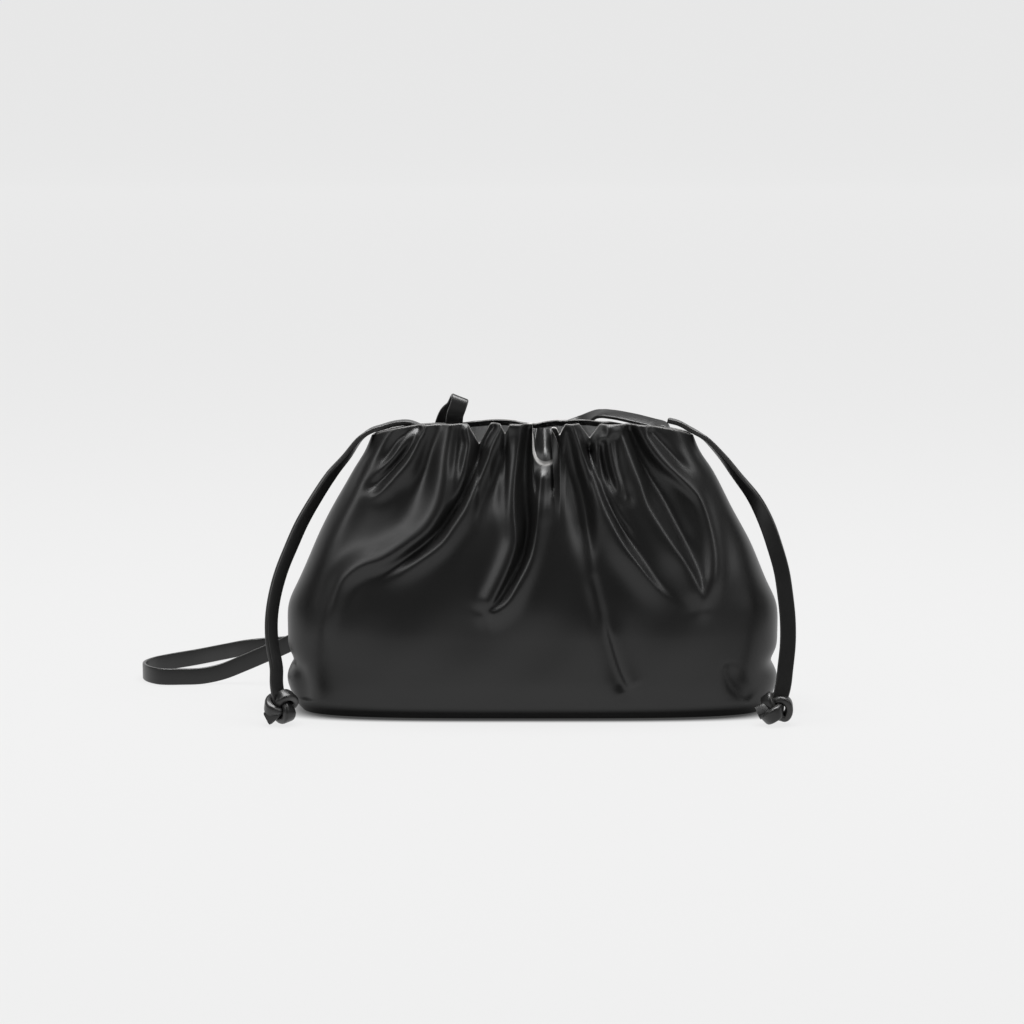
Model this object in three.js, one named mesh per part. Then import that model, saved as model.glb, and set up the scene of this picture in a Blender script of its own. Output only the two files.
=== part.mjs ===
// Cloud pouch bag: a gathered pouch of soft leather, two flat laces that leave the rim at the
// shoulders and end in knots on the floor, and one long flat shoulder strap.
// Millimetres. X runs to the bag's right, Y to its back and Z up.
// The origin is the middle of the flat base.
import * as THREE from "three";

// Driving sizes of the pouch
const bagWidth = 301;
const bagDepth = 106;
const bagHeight = 176;
const mouthWidth = 196;
const mouthDepth = 40;
const leather = 2.2;
const shoulderDrop = 9;
const backDrop = 2.5;
const foldDepth = 9;
const foldWidth = 11;
const notchDepth = 24;
const notchWidth = 16;
const lipFlare = 5;
const puckerDepth = 4;

// Driving sizes of the laces, their knots and the strap
const laceWidth = 9.5;
const laceThickness = 3;
const laceRounding = 0.3;
const knotRadius = 10;
const knotStrand = 4.4;
const strapWidth = 10.5;
const strapThickness = 2.2;
const strapClearance = 2.2;
const loopReach = 98;
const loopSpread = 110;
const seatGap = 0.3;

// How finely the skins are divided
const columnsRound = 116;
const rowsOutside = 24;
const rowsInside = 12;
const strapSteps = 84;
const laceSteps = 22;

// Level sections of the pouch. height is a share of bagHeight. spread goes from mouthWidth (0) to
// bagWidth (1), belly from mouthDepth (0) to bagDepth (1). square is how boxy the section is.
const sections = [
  { height: 0, spread: 0.82, belly: 0.66, square: 3.6 },
  { height: 0.03, spread: 0.905, belly: 0.84, square: 3.4 },
  { height: 0.075, spread: 0.96, belly: 0.92, square: 3.2 },
  { height: 0.14, spread: 0.99, belly: 0.98, square: 3 },
  { height: 0.28, spread: 1, belly: 1, square: 2.9 },
  { height: 0.36, spread: 0.97, belly: 0.97, square: 2.8 },
  { height: 0.44, spread: 0.865, belly: 0.9, square: 2.7 },
  { height: 0.56, spread: 0.69, belly: 0.76, square: 2.6 },
  { height: 0.67, spread: 0.515, belly: 0.58, square: 2.5 },
  { height: 0.78, spread: 0.345, belly: 0.38, square: 2.4 },
  { height: 0.87, spread: 0.205, belly: 0.22, square: 2.3 },
  { height: 0.94, spread: 0.08, belly: 0.1, square: 2.2 },
  { height: 1, spread: 0, belly: 0, square: 2.2 },
];

// Folds on the front and the back. A fold runs from one point over a middle point to its end: x is a
// share of half the bagWidth, z of the bagHeight. push is a share of foldDepth, outwards if positive.
// left and right are the widths of the fold's two flanks, as shares of foldWidth.
const frontFolds = [
  { fromX: -0.54, fromZ: 0.98, viaX: -0.66, viaZ: 0.84, toX: -0.8, toZ: 0.6, push: 0.4, left: 0.8, right: 0.8 },
  { fromX: -0.48, fromZ: 0.98, viaX: -0.57, viaZ: 0.9, toX: -0.64, toZ: 0.8, push: -0.45, left: 0.5, right: 0.5 },
  { fromX: -0.41, fromZ: 1, viaX: -0.53, viaZ: 0.84, toX: -0.68, toZ: 0.745, push: 0.55, left: 0.5, right: 0.7 },
  { fromX: -0.385, fromZ: 0.99, viaX: -0.45, viaZ: 0.82, toX: -0.55, toZ: 0.62, push: -0.4, left: 0.6, right: 0.7 },
  { fromX: -0.325, fromZ: 1, viaX: -0.37, viaZ: 0.73, toX: -0.7, toZ: 0.52, push: 0.5, left: 0.8, right: 0.6 },
  { fromX: -0.17, fromZ: 0.99, viaX: -0.28, viaZ: 0.75, toX: -0.57, toZ: 0.52, push: -0.6, left: 0.5, right: 0.5 },
  { fromX: -0.12, fromZ: 0.99, viaX: -0.24, viaZ: 0.78, toX: -0.54, toZ: 0.52, push: 0.65, left: 0.5, right: 0.8 },
  { fromX: -0.1, fromZ: 0.95, viaX: -0.15, viaZ: 0.84, toX: -0.24, toZ: 0.64, push: -0.45, left: 0.5, right: 0.6 },
  { fromX: -0.05, fromZ: 0.99, viaX: -0.075, viaZ: 0.7, toX: -0.19, toZ: 0.38, push: 0.5, left: 0.6, right: 0.5 },
  { fromX: -0.02, fromZ: 0.98, viaX: -0.022, viaZ: 0.7, toX: -0.1, toZ: 0.46, push: -0.55, left: 0.5, right: 0.5 },
  { fromX: 0.035, fromZ: 0.83, viaX: 0.01, viaZ: 0.62, toX: -0.16, toZ: 0.39, push: 0.5, left: 0.5, right: 0.7 },
  { fromX: 0.135, fromZ: 0.95, viaX: 0.19, viaZ: 0.76, toX: 0.24, toZ: 0.5, push: -0.75, left: 0.8, right: 0.5 },
  { fromX: 0.21, fromZ: 0.6, viaX: 0.26, viaZ: 0.4, toX: 0.37, toZ: 0.1, push: -0.4, left: 0.6, right: 0.5 },
  { fromX: 0.155, fromZ: 0.99, viaX: 0.28, viaZ: 0.74, toX: 0.58, toZ: 0.4, push: 0.65, left: 0.8, right: 0.5 },
  { fromX: 0.23, fromZ: 0.91, viaX: 0.31, viaZ: 0.72, toX: 0.45, toZ: 0.55, push: -0.5, left: 0.5, right: 0.5 },
  { fromX: 0.3, fromZ: 0.99, viaX: 0.32, viaZ: 0.86, toX: 0.35, toZ: 0.73, push: 0.45, left: 0.5, right: 0.5 },
  { fromX: 0.36, fromZ: 0.98, viaX: 0.46, viaZ: 0.72, toX: 0.67, toZ: 0.38, push: 0.5, left: 0.8, right: 0.5 },
  { fromX: 0.4, fromZ: 0.97, viaX: 0.54, viaZ: 0.75, toX: 0.66, toZ: 0.5, push: -0.55, left: 0.5, right: 0.5 },
  { fromX: 0.43, fromZ: 0.98, viaX: 0.64, viaZ: 0.78, toX: 0.69, toZ: 0.42, push: 0.5, left: 0.5, right: 0.8 },
  { fromX: 0.6, fromZ: 0.98, viaX: 0.67, viaZ: 0.86, toX: 0.73, toZ: 0.72, push: 0.4, left: 0.8, right: 0.8 },
  { fromX: -0.96, fromZ: 0.2, viaX: -0.93, viaZ: 0.12, toX: -0.92, toZ: 0.05, push: -0.4, left: 0.6, right: 0.7 },
  { fromX: 0.79, fromZ: 0.2, viaX: 0.79, viaZ: 0.14, toX: 0.88, toZ: 0.06, push: -0.3, left: 0.5, right: 0.7 },
];
const backFolds = [
  { fromX: -0.5, fromZ: 1, viaX: -0.62, viaZ: 0.82, toX: -0.74, toZ: 0.6, push: 0.45, left: 1, right: 0.8 },
  { fromX: -0.42, fromZ: 1, viaX: -0.5, viaZ: 0.78, toX: -0.6, toZ: 0.55, push: -0.5, left: 0.8, right: 0.8 },
  { fromX: -0.33, fromZ: 1, viaX: -0.4, viaZ: 0.72, toX: -0.52, toZ: 0.42, push: 0.5, left: 0.8, right: 1 },
  { fromX: -0.24, fromZ: 1, viaX: -0.28, viaZ: 0.75, toX: -0.36, toZ: 0.5, push: -0.5, left: 0.8, right: 0.8 },
  { fromX: -0.14, fromZ: 1, viaX: -0.17, viaZ: 0.7, toX: -0.2, toZ: 0.36, push: 0.5, left: 0.9, right: 0.9 },
  { fromX: -0.05, fromZ: 1, viaX: -0.04, viaZ: 0.74, toX: -0.06, toZ: 0.5, push: -0.5, left: 0.8, right: 0.8 },
  { fromX: 0.05, fromZ: 1, viaX: 0.07, viaZ: 0.7, toX: 0.1, toZ: 0.44, push: 0.45, left: 0.8, right: 0.9 },
  { fromX: 0.12, fromZ: 1, viaX: 0.165, viaZ: 0.74, toX: 0.225, toZ: 0.46, push: -0.5, left: 0.8, right: 0.8 },
  { fromX: 0.195, fromZ: 1, viaX: 0.27, viaZ: 0.7, toX: 0.4, toZ: 0.38, push: 0.5, left: 0.9, right: 0.8 },
  { fromX: 0.28, fromZ: 1, viaX: 0.38, viaZ: 0.76, toX: 0.52, toZ: 0.54, push: -0.5, left: 0.8, right: 0.8 },
  { fromX: 0.45, fromZ: 1, viaX: 0.56, viaZ: 0.78, toX: 0.7, toZ: 0.52, push: 0.5, left: 0.9, right: 1 },
];

// Notches in the rim. at is a share of half the mouthWidth, drop of notchDepth, width of notchWidth.
// round is 0 for a V and 1 for a hanging U, whose lip flares out.
const frontNotches = [
  { at: -0.33, drop: 0.52, width: 0.85, round: 0 },
  { at: -0.17, drop: 0.25, width: 0.35, round: 0 },
  { at: 0.08, drop: 1, width: 1, round: 1 },
  { at: 0.167, drop: 0.3, width: 0.4, round: 0 },
  { at: 0.35, drop: 0.36, width: 0.8, round: 0 },
];
const backNotches = [
  { at: -0.5, drop: 0.1, width: 1.6, round: 0 },
  { at: 0.02, drop: 0.1, width: 1.6, round: 0 },
  { at: 0.62, drop: 0.1, width: 1.6, round: 0 },
];

// Puckers where the sides fold in low down. height is a share of bagHeight, push of puckerDepth.
const sidePuckers = [
  { height: 0.37, push: 0.15, tall: 0.06 },
  { height: 0.17, push: -0.9, tall: 0.035 },
  { height: 0.1, push: 0.25, tall: 0.04 },
];

const mix = (a, b, share) => a + (b - a) * share;
const clamp01 = (value) => Math.min(Math.max(value, 0), 1);
const smooth = (from, to, value) => {
  const s = clamp01((value - from) / (to - from));
  return s * s * (3 - 2 * s);
};

// One column of the section table at a height share, on a smooth curve through its rows
function column(name, height) {
  const h = clamp01(height);
  let i = 0;
  while (i < sections.length - 2 && h > sections[i + 1].height) i += 1;
  const slopeAt = (k) => {
    const before = sections[Math.max(k - 1, 0)];
    const after = sections[Math.min(k + 1, sections.length - 1)];
    return (after[name] - before[name]) / (after.height - before.height);
  };
  const low = sections[i];
  const high = sections[i + 1];
  const step = high.height - low.height;
  const s = (h - low.height) / step;
  const s2 = s * s;
  const s3 = s2 * s;
  return (2 * s3 - 3 * s2 + 1) * low[name] + (s3 - 2 * s2 + s) * step * slopeAt(i)
    + (3 * s2 - 2 * s3) * high[name] + (s3 - s2) * step * slopeAt(i + 1);
}

const halfWidthAt = (height) => mix(mouthWidth, bagWidth, column("spread", height)) / 2;
const halfDepthAt = (height) => mix(mouthDepth, bagDepth, column("belly", height)) / 2;

// How much a fold pushes the leather out at a point of the front or the back
function foldPush(fold, x, z) {
  const samples = 12;
  const half = bagWidth / 2;
  let nearest = Infinity;
  let offset = 0;
  let along = 0;
  let lastX = fold.fromX * half;
  let lastZ = fold.fromZ * bagHeight;
  for (let k = 1; k <= samples; k += 1) {
    const s = k / samples;
    const pull = 2 * s * (1 - s);
    const midX = 2 * fold.viaX - (fold.fromX + fold.toX) / 2;
    const midZ = 2 * fold.viaZ - (fold.fromZ + fold.toZ) / 2;
    const nextX = ((1 - s) ** 2 * fold.fromX + pull * midX + s * s * fold.toX) * half;
    const nextZ = ((1 - s) ** 2 * fold.fromZ + pull * midZ + s * s * fold.toZ) * bagHeight;
    const runX = nextX - lastX;
    const runZ = nextZ - lastZ;
    const length = Math.hypot(runX, runZ);
    const t = clamp01(((x - lastX) * runX + (z - lastZ) * runZ) / length ** 2);
    const awayX = x - lastX - t * runX;
    const awayZ = z - lastZ - t * runZ;
    const distance = Math.hypot(awayX, awayZ);
    if (distance < nearest) {
      nearest = distance;
      offset = (awayX * -runZ + awayZ * runX) / (length * Math.max(distance, 1e-6));
      along = (k - 1 + t) / samples;
    }
    lastX = nextX;
    lastZ = nextZ;
  }
  const flank = mix(fold.left, fold.right, (offset + 1) / 2) * foldWidth;
  const fade = 1 - smooth(0.55, 1.05, along);
  return fold.push * foldDepth * fade * Math.exp(-((nearest / flank) ** 2));
}

// The part of a notch that reaches a place across the mouth: 1 at its middle, 0 outside it
function notchShare(notch, x) {
  const away = Math.abs(x - notch.at * mouthWidth / 2) / (notch.width * notchWidth / 2);
  return mix(clamp01(1 - away), Math.sqrt(clamp01(1 - away ** 4)), notch.round);
}

// How far the rim dips there
const notchDip = (notches, x) => notches.reduce(
  (dip, notch) => dip + notch.drop * notchDepth * notchShare(notch, x),
  0,
);

// How far the lip of a hanging U flares out there
const notchFlare = (notches, x) => notches.reduce(
  (flare, notch) => flare + notch.round * lipFlare * notchShare(notch, x),
  0,
);

// A point of the pouch. turn goes once round from 0 to 1, starting at the right side and passing the
// back first; height is a share of bagHeight; inset moves the point inwards, level.
function skinPoint(turn, height, inset) {
  const crowding = 0.2;
  const angle = 2 * Math.PI * turn + crowding * Math.sin(4 * Math.PI * turn);
  const c = Math.cos(angle);
  const s = Math.sin(angle);
  const n = column("square", height);
  const a = halfWidthAt(height);
  const b = halfDepthAt(height);
  const k = (Math.abs(c) ** n + Math.abs(s) ** n) ** (-1 / n);
  const x = a * c * k;
  const y = b * s * k;
  const outX = Math.sign(c) * (Math.abs(c) * k) ** (n - 1) / a;
  const outY = Math.sign(s) * (Math.abs(s) * k) ** (n - 1) / b;
  const outLength = Math.hypot(outX, outY);
  const front = smooth(0.25, 0.7, -s);
  const back = smooth(0.25, 0.7, s);
  const side = smooth(0.8, 1, Math.abs(c));
  const clearOfBase = smooth(0, 0.05, height);
  const gathered = smooth(0.5, 1, height) ** 2;
  const shoulder = shoulderDrop * Math.abs(x / a) ** 5;
  const dip = front * notchDip(frontNotches, x) + back * (backDrop + notchDip(backNotches, x));
  const z = height * bagHeight - (shoulder + dip) * gathered;
  let push = front * gathered * notchFlare(frontNotches, x);
  if (front > 0) {
    for (const fold of frontFolds) push += front * foldPush(fold, x, z);
  }
  if (back > 0) {
    for (const fold of backFolds) push += back * foldPush(fold, x, z);
  }
  for (const pucker of sidePuckers) {
    push += side * pucker.push * puckerDepth * Math.exp(-(((height - pucker.height) / pucker.tall) ** 2));
  }
  const reach = push * clearOfBase - inset;
  return new THREE.Vector3(x + reach * outX / outLength, y + reach * outY / outLength, z);
}

// A closed body from rings of points, each ring the same number of points, capped at both ends
function bodyFromRings(rings) {
  const count = rings[0].length;
  const corners = rings.flat();
  const faces = [];
  const capMiddle = (ring) => ring.reduce((sum, p) => sum.add(p), new THREE.Vector3()).divideScalar(count);
  for (let r = 0; r < rings.length - 1; r += 1) {
    for (let i = 0; i < count; i += 1) {
      const j = (i + 1) % count;
      const low = r * count;
      const high = low + count;
      const rising = corners[low + i].distanceTo(corners[high + j]);
      const falling = corners[low + j].distanceTo(corners[high + i]);
      if (rising < falling) faces.push(low + i, low + j, high + j, low + i, high + j, high + i);
      else faces.push(low + i, low + j, high + i, low + j, high + j, high + i);
    }
  }
  const first = corners.push(capMiddle(rings[0])) - 1;
  const last = corners.push(capMiddle(rings[rings.length - 1])) - 1;
  const top = (rings.length - 1) * count;
  for (let i = 0; i < count; i += 1) {
    const j = (i + 1) % count;
    faces.push(first, j, i, last, top + i, top + j);
  }
  const geometry = new THREE.BufferGeometry();
  geometry.setAttribute("position", new THREE.Float32BufferAttribute(corners.flatMap((p) => p.toArray()), 3));
  geometry.setIndex(faces);
  geometry.computeVertexNormals();
  return geometry;
}

// Shares from 0 to 1 that crowd together at both ends
function crowdedShares(count, strength) {
  const shares = [];
  for (let i = 0; i <= count; i += 1) {
    const s = i / count;
    shares.push(s - strength * Math.sin(2 * Math.PI * s));
  }
  return shares;
}

function pouchGeometry() {
  const ringAt = (height, inset) => {
    const ring = [];
    for (let i = 0; i < columnsRound; i += 1) ring.push(skinPoint(i / columnsRound, height, inset));
    return ring;
  };
  const floorShare = leather / bagHeight;
  const outside = crowdedShares(rowsOutside, 0.08).map((height) => ringAt(height, 0));
  const inside = crowdedShares(rowsInside, 0.06).map((share) => ringAt(mix(1, floorShare, share), leather));
  return bodyFromRings([...outside, ...inside]);
}

// A closed flat strip along stations, each with its place and the way its width points. corner cuts
// its four edges.
function stripGeometry(stations, width, thickness, corner, steps) {
  const route = new THREE.CatmullRomCurve3(stations.map((station) => station.place), false, "centripetal");
  const across = width / 2;
  const through = thickness / 2;
  const outline = corner > 0
    ? [[across, through - corner], [across - corner, through], [corner - across, through],
      [-across, through - corner], [-across, corner - through], [corner - across, -through],
      [across - corner, -through], [across, corner - through]]
    : [[across, through], [-across, through], [-across, -through], [across, -through]];
  const rings = [];
  for (let i = 0; i <= steps; i += 1) {
    const t = route.getUtoTmapping(i / steps);
    const place = route.getPoint(t);
    const along = route.getTangent(t);
    const reached = Math.min(t * (stations.length - 1), stations.length - 1 - 1e-6);
    const before = Math.floor(reached);
    const wide = stations[before].wide.clone().lerp(stations[before + 1].wide, reached - before);
    wide.addScaledVector(along, -wide.dot(along)).normalize();
    const thick = along.clone().cross(wide).normalize();
    rings.push(outline.map(([u, v]) => place.clone().addScaledVector(wide, u).addScaledVector(thick, v)));
  }
  return bodyFromRings(rings);
}

// The laces' routes, from inside the mouth's end over the rim and down to the knots. x is a share of
// half the bagWidth, y of half the bagDepth, z of the bagHeight. The twists turn a lace from lying
// level across the rim (0) to facing the front (1).
const laceRows = [
  { leftX: 0.43, rightX: 0.55, y: 0.06, leftZ: 0.965, rightZ: 0.998, leftTwist: 0.1, rightTwist: 0.1 },
  { leftX: 0.5, rightX: 0.585, y: 0.04, leftZ: 0.99, rightZ: 0.991, leftTwist: 0.05, rightTwist: 0.05 },
  { leftX: 0.56, rightX: 0.61, y: 0.02, leftZ: 0.988, rightZ: 0.982, leftTwist: 0.05, rightTwist: 0.05 },
  { leftX: 0.61, rightX: 0.635, y: 0, leftZ: 0.976, rightZ: 0.97, leftTwist: 0, rightTwist: 0 },
  { leftX: 0.65, rightX: 0.662, y: -0.03, leftZ: 0.966, rightZ: 0.958, leftTwist: 0.05, rightTwist: 0.05 },
  { leftX: 0.695, rightX: 0.7, y: -0.09, leftZ: 0.94, rightZ: 0.938, leftTwist: 0.2, rightTwist: 0.15 },
  { leftX: 0.75, rightX: 0.765, y: -0.17, leftZ: 0.88, rightZ: 0.88, leftTwist: 0.4, rightTwist: 0.25 },
  { leftX: 0.81, rightX: 0.82, y: -0.25, leftZ: 0.82, rightZ: 0.82, leftTwist: 0.55, rightTwist: 0.35 },
  { leftX: 0.872, rightX: 0.891, y: -0.34, leftZ: 0.741, rightZ: 0.741, leftTwist: 0.6, rightTwist: 0.5 },
  { leftX: 0.926, rightX: 0.938, y: -0.43, leftZ: 0.662, rightZ: 0.662, leftTwist: 0.65, rightTwist: 0.65 },
  { leftX: 0.968, rightX: 0.97, y: -0.53, leftZ: 0.583, rightZ: 0.583, leftTwist: 0.7, rightTwist: 0.8 },
  { leftX: 1.005, rightX: 0.995, y: -0.62, leftZ: 0.505, rightZ: 0.505, leftTwist: 0.7, rightTwist: 0.9 },
  { leftX: 1.03, rightX: 1.008, y: -0.72, leftZ: 0.426, rightZ: 0.426, leftTwist: 0.7, rightTwist: 1 },
  { leftX: 1.042, rightX: 1.016, y: -0.81, leftZ: 0.348, rightZ: 0.348, leftTwist: 0.7, rightTwist: 1 },
  { leftX: 1.038, rightX: 1.015, y: -0.9, leftZ: 0.27, rightZ: 0.27, leftTwist: 0.7, rightTwist: 1 },
  { leftX: 1.02, rightX: 1.004, y: -0.98, leftZ: 0.19, rightZ: 0.19, leftTwist: 0.65, rightTwist: 1 },
];

// The two sides: which way they lie, and how each knot lies on the floor. knotX is a share of half
// the bagWidth, knotY of half the bagDepth.
const sides = {
  left: { way: -1, knotX: -1, knotY: -1.08, lean: 0.15, spin: 0.35 },
  right: { way: 1, knotX: 0.965, knotY: -1.08, lean: 0.75, spin: -0.6 },
};

// An overhand knot, seen from the front as three lobes, resting on the floor
function knotGeometry(side) {
  const strand = knotStrand / 2;
  const lobes = (knotRadius - strand) / 1.5;
  const geometry = new THREE.TorusKnotGeometry(lobes, strand, 48, 6, 2, 3);
  geometry.rotateZ(side.spin);
  geometry.rotateX(Math.PI / 2 - side.lean);
  geometry.computeBoundingBox();
  const floor = -geometry.boundingBox.min.z;
  geometry.translate(side.knotX * bagWidth / 2, side.knotY * bagDepth / 2, floor);
  return geometry;
}

// The highest point of a piece
function topOf(geometry) {
  const places = geometry.getAttribute("position");
  const top = new THREE.Vector3(0, 0, -Infinity);
  for (let i = 0; i < places.count; i += 1) {
    if (places.getZ(i) > top.z) top.fromBufferAttribute(places, i);
  }
  return top;
}

function laceGeometry(name, side, knot) {
  const stations = laceRows.map((row) => ({
    place: new THREE.Vector3(
      side.way * row[`${name}X`] * bagWidth / 2,
      row.y * bagDepth / 2,
      row[`${name}Z`] * bagHeight,
    ),
    wide: new THREE.Vector3(0, -1, 0).lerp(new THREE.Vector3(side.way, 0, 0), row[`${name}Twist`]),
  }));
  const last = laceRows[laceRows.length - 1];
  const wide = new THREE.Vector3(0, -1, 0).lerp(new THREE.Vector3(side.way, 0, 0), last[`${name}Twist`]);
  const end = topOf(knot);
  end.z += 2.5 * seatGap;
  const above = end.clone().lerp(stations[stations.length - 1].place, 0.4);
  above.x = mix(end.x, above.x, 0.5);
  stations.push({ place: above, wide });
  stations.push({ place: end, wide });
  return stripGeometry(stations, laceWidth, laceThickness, laceThickness * laceRounding, laceSteps);
}

// The place on the back wall at an x: on its outer face, or on its inner face with an inset
function backWallAt(x, height, inset) {
  let low = 0;
  let high = 0.5;
  for (let k = 0; k < 24; k += 1) {
    const middle = (low + high) / 2;
    if (skinPoint(middle, height, inset).x > x) low = middle;
    else high = middle;
  }
  return skinPoint(low, height, inset);
}

// The wall as the strap meets it: in the middle of the strap's width, moved to the y that pick
// chooses from those across that width
function wallUnderStrap(x, height, inset, pick) {
  const checks = 6;
  const found = [];
  for (let k = 0; k <= checks; k += 1) {
    found.push(backWallAt(x + strapWidth * (k / checks - 0.5), height, inset).y);
  }
  return backWallAt(x, height, inset).setY(pick(...found));
}

// Where the right side's inner face meets the strap's edges
function sideWall(height) {
  let low = 0;
  let high = 0.1;
  for (let k = 0; k < 24; k += 1) {
    const middle = (low + high) / 2;
    if (skinPoint(middle, height, leather).y < strapWidth / 2) low = middle;
    else high = middle;
  }
  return skinPoint(low, height, leather);
}

// Ways the strap's width can point
const across = new THREE.Vector3(-1, 0, 0);
const upright = new THREE.Vector3(0, 0, 1);
const level = new THREE.Vector3(0, 1, 0);
// Ways its face can point where it lies against the back
const towardsFront = new THREE.Vector3(0, -1, 0);
const towardsBack = new THREE.Vector3(0, 1, 0);

// The strap's left leg over the rim. x is a share of half the mouthWidth, rise a share of strapWidth
// above the rim, y a share of half the mouthDepth. lift is the slope by which the width's far end,
// here the left one, is higher.
const peakRows = [
  { x: -0.485, y: 0.6, rise: 0.1, lift: 0 },
  { x: -0.465, y: 0.68, rise: 0.65, lift: 0.2 },
  { x: -0.452, y: 0.82, rise: 1.06, lift: 0.4 },
  { x: -0.462, y: 1.06, rise: 1.04, lift: 0.4 },
  { x: -0.49, y: 1.24, rise: 0.5, lift: 0.2 },
  { x: -0.535, y: 1.32, rise: 0.05, lift: 0 },
];
// The left leg down the back. x is a share of half the bagWidth, z of the bagHeight.
const leftLegRows = [
  { x: -0.388, z: 0.93 },
  { x: -0.44, z: 0.85 },
  { x: -0.5, z: 0.75 },
  { x: -0.6, z: 0.6 },
  { x: -0.71, z: 0.45 },
  { x: -0.82, z: 0.31 },
];
// The loop on the floor, standing on its edge. out is a share of loopReach from the bag's left side,
// back a share of loopSpread from the bag's back, lift a share of bagHeight above the floor.
const loopRows = [
  { out: -0.06, back: 0.02, lift: 0.15 },
  { out: 0.063, back: 0.045, lift: 0.11 },
  { out: 0.21, back: 0.06, lift: 0.073 },
  { out: 0.345, back: 0.065, lift: 0.04 },
  { out: 0.47, back: 0.06, lift: 0.013 },
  { out: 0.6, back: 0.035, lift: 0 },
  { out: 0.73, back: 0.01, lift: 0 },
  { out: 0.87, back: 0.015, lift: 0 },
  { out: 0.965, back: 0.1, lift: 0 },
  { out: 1, back: 0.22, lift: 0 },
  { out: 0.955, back: 0.34, lift: 0 },
  { out: 0.85, back: 0.45, lift: 0 },
  { out: 0.695, back: 0.58, lift: 0 },
  { out: 0.53, back: 0.74, lift: 0 },
  { out: 0.385, back: 0.87, lift: 0 },
  { out: 0.14, back: 0.97, lift: 0 },
  { out: -0.15, back: 1, lift: 0 },
  { out: -0.44, back: 0.93, lift: 0 },
  { out: -0.685, back: 0.76, lift: 0 },
  { out: -0.9, back: 0.54, lift: 0 },
  { out: -1.07, back: 0.33, lift: 0.003 },
  { out: -1.22, back: 0.19, lift: 0.04 },
];
// The right leg up the back, like the left one
const rightLegRows = [
  { x: -0.06, z: 0.22 },
  { x: -0.05, z: 0.4 },
  { x: -0.03, z: 0.58 },
  { x: -0.01, z: 0.74 },
  { x: 0.02, z: 0.86 },
];
// The right leg's arc over the rim and down into the mouth's right end, like the peak. Here the
// width's far end is the back one.
const arcRows = [
  { x: 0.1, y: 1.62, rise: -1.4, lift: 1.3 },
  { x: 0.2, y: 1.5, rise: -0.88, lift: 1 },
  { x: 0.3, y: 1.53, rise: -0.48, lift: 0.85 },
  { x: 0.42, y: 1.14, rise: 0.11, lift: 0.2 },
  { x: 0.5, y: 0.9, rise: 0.14, lift: 0.3 },
  { x: 0.64, y: 0.6, rise: -0.05, lift: 0.4 },
  { x: 0.76, y: 0.38, rise: -0.29, lift: 0.4 },
  { x: 0.83, y: 0.12, rise: -0.45, lift: 0.1 },
  { x: 0.87, y: 0.04, rise: -1, lift: 0 },
];

function strapStations() {
  const stations = [];
  const add = (x, y, z, wide) => stations.push({ place: new THREE.Vector3(x, y, z), wide });
  const addInside = (x, height) => {
    const wall = wallUnderStrap(x, height, leather, Math.min);
    add(x, wall.y - strapThickness / 2 - 2 * seatGap, wall.z, across);
  };
  const addBehind = (row, faces) => {
    const x = row.x * bagWidth / 2;
    const wall = wallUnderStrap(x, row.z, 0, Math.max);
    add(x, wall.y + strapThickness / 2 + strapClearance, wall.z, null);
    stations[stations.length - 1].faces = faces;
  };
  const addOverRim = (row, way) => {
    const wide = way.clone().setZ(row.lift).normalize();
    add(row.x * mouthWidth / 2, row.y * mouthDepth / 2, bagHeight + row.rise * strapWidth, wide);
  };
  const strapFoot = strapWidth / 2 + seatGap;
  for (const height of [0.82, 0.88, 0.95]) addInside(peakRows[0].x * mouthWidth / 2, height);
  for (const row of peakRows) addOverRim(row, across);
  for (const row of leftLegRows) addBehind(row, towardsFront);
  for (const row of loopRows) {
    const x = -bagWidth / 2 - row.out * loopReach;
    const y = bagDepth / 2 + row.back * loopSpread;
    add(x, y, strapFoot + row.lift * bagHeight, upright);
  }
  for (const row of rightLegRows) addBehind(row, towardsBack);
  for (const row of arcRows) addOverRim(row, level);
  for (const height of [0.87, 0.82]) {
    const wall = sideWall(height);
    add(wall.x - strapThickness - seatGap, 0, wall.z, level);
  }
  stations.forEach((station, i) => {
    if (station.wide) return;
    const along = stations[i + 1].place.clone().sub(stations[i - 1].place);
    station.wide = along.cross(station.faces).normalize();
  });
  return stations;
}

const strapGeometry = () => stripGeometry(strapStations(), strapWidth, strapThickness, 0, strapSteps);

const pouch = { name: "pouch_body", geometry: pouchGeometry() };
const parts = [pouch];
for (const [name, side] of Object.entries(sides)) {
  const knot = knotGeometry(side);
  parts.push({ name: `${name}_lace`, geometry: laceGeometry(name, side, knot) });
  parts.push({ name: `${name}_knot`, geometry: knot });
}

parts.push({ name: "shoulder_strap", geometry: strapGeometry() });

const finishes = {
  pouch_body: { color: 0x26262a, roughness: 0.42 },
  left_lace: { color: 0x1c1c1f, roughness: 0.45 },
  right_lace: { color: 0x1c1c1f, roughness: 0.45 },
  left_knot: { color: 0x1c1c1f, roughness: 0.4 },
  right_knot: { color: 0x1c1c1f, roughness: 0.4 },
  shoulder_strap: { color: 0x1c1c1f, roughness: 0.45 },
};

const bag = new THREE.Group();
for (const part of parts) {
  const mesh = new THREE.Mesh(part.geometry, new THREE.MeshStandardMaterial({ metalness: 0, ...finishes[part.name] }));
  mesh.name = part.name;
  bag.add(mesh);
}

export default bag;
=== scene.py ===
from math import cos, pi, radians, sin

import bpy
import numpy as np
from mathutils import Matrix, Vector


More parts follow.
